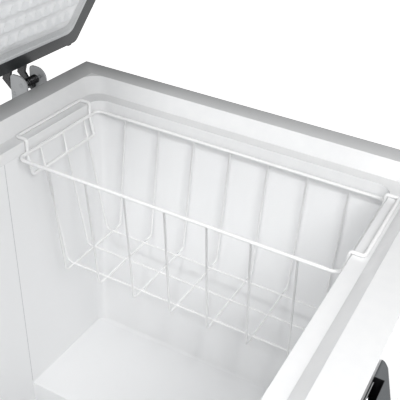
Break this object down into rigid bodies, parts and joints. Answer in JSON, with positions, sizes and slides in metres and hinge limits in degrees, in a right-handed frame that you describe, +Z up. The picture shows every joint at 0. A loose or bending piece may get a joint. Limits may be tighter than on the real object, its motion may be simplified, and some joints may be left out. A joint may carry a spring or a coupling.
{
  "type": "chest freezer",
  "caption": "Top-opening chest freezer with a hinged lid, hanging wire basket, stepped liner, front lock housing and side vent grille.",
  "frame": {"origin": "on the floor plane, at the middle of the whole object's plan box with the lid at its modelled opening", "axes": "+X along the cabinet towards the compressor end, +Y towards the hinges at the back, +Z up"},
  "size_m": [1.12, 0.7946, 1.4419],
  "materials": {
    "white_steel": "gloss powder coat",
    "white_plastic": "gloss",
    "liner_white": "satin, fine emboss",
    "wire_white": "dipped plastic coat",
    "grey_plastic": "fine texture",
    "dark_grey": "satin",
    "pale_grey": "satin",
    "black_enamel": "gloss",
    "rubber": "matte",
    "gasket_white": "soft matte",
    "steel": "bright",
    "galvanised": "spangled",
    "copper": "drawn tube",
    "foam": "cut foam",
    "green_lamp": "clear",
    "red_lamp": "clear",
    "amber_lamp": "clear"
  },
  "bodies": {
    "cabinet": {"alarm_lamp": "red_lamp", "back_panel": "galvanised", "base_pan": "galvanised", "compressor": "black_enamel", "compressor_plate": "galvanised", "control_bezel": "grey_plastic", "discharge_pipe": "copper", "drain_tube": "white_plastic", "fast_freeze_lamp": "amber_lamp", "filter_drier": "copper", "foot_back_left": "rubber", "foot_back_right": "rubber", "foot_front_left": "rubber", "foot_front_right": "rubber", "grommet_back_left": "rubber", "grommet_back_right": "rubber", "grommet_front_left": "rubber", "grommet_front_right": "rubber", "hinge_cover_left": "pale_grey", "hinge_cover_right": "pale_grey", "hinge_pin_left": "steel", "hinge_pin_right": "steel", "hinge_spring_left": "black_enamel", "hinge_spring_right": "black_enamel", "inner_liner": "liner_white", "insulation_foam": "foam", "latch_keeper": "steel", "lock_housing": "grey_plastic", "outer_wrap": "white_steel", "power_inlet_gland": "black_enamel", "power_lamp": "green_lamp", "side_vent_grille": "grey_plastic", "spring_guide_left": "steel", "spring_guide_right": "steel", "start_relay_box": "dark_grey", "suction_pipe": "copper", "top_collar": "white_plastic"},
    "lid": {"lid_frame": "dark_grey", "lid_top_skin": "white_steel", "lid_foam": "foam", "lid_gasket": "gasket_white", "lid_inner_panel": "white_plastic", "corner_bumper_left": "rubber", "corner_bumper_right": "rubber", "lid_handle": "grey_plastic", "latch_hook": "steel", "hinge_bracket_left": "dark_grey", "hinge_bracket_right": "dark_grey"},
    "basket": {"wire_basket": "wire_white"},
    "thermostat_knob": {"thermostat_knob": "pale_grey"},
    "lock_barrel": {"lock_cylinder": "steel", "lock_cam": "steel"},
    "key": {"lock_key": "steel"},
    "drain_plug": {"drain_plug": "grey_plastic"},
    "drain_cap": {"drain_cap": "grey_plastic"}
  },
  "joints": [
    {"name": "lid_hinge", "type": "hinge", "parent": "cabinet", "child": "lid", "pos_m": [0, 0.35157, 0.7888], "axis": [-1, 0, 0], "range_deg": [-62, 18]},
    {"name": "basket_slide", "type": "slide", "parent": "cabinet", "child": "basket", "axis": [-1, 0, 0], "range_m": [0, 0.74]},
    {"name": "thermostat_turn", "type": "hinge", "parent": "cabinet", "child": "thermostat_knob", "pos_m": [0.405, -0.34033, 0.135], "axis": [0, -1, 0], "range_deg": [-270, 0]},
    {"name": "lock_turn", "type": "hinge", "parent": "cabinet", "child": "lock_barrel", "pos_m": [0, -0.37133, 0.7514], "axis": [0, -1, 0], "range_deg": [-90, 0]},
    {"name": "key_pull", "type": "slide", "parent": "lock_barrel", "child": "key", "axis": [0, -1, 0], "range_m": [0, 0.03]},
    {"name": "drain_plug_lift", "type": "slide", "parent": "cabinet", "child": "drain_plug", "axis": [0, 0, 1], "range_m": [0, 0.06]},
    {"name": "drain_cap_turn", "type": "hinge", "parent": "cabinet", "child": "drain_cap", "pos_m": [-0.39, -0.18533, 0.02], "axis": [0, 0, 1], "range_deg": [0, 360]}
  ]
}
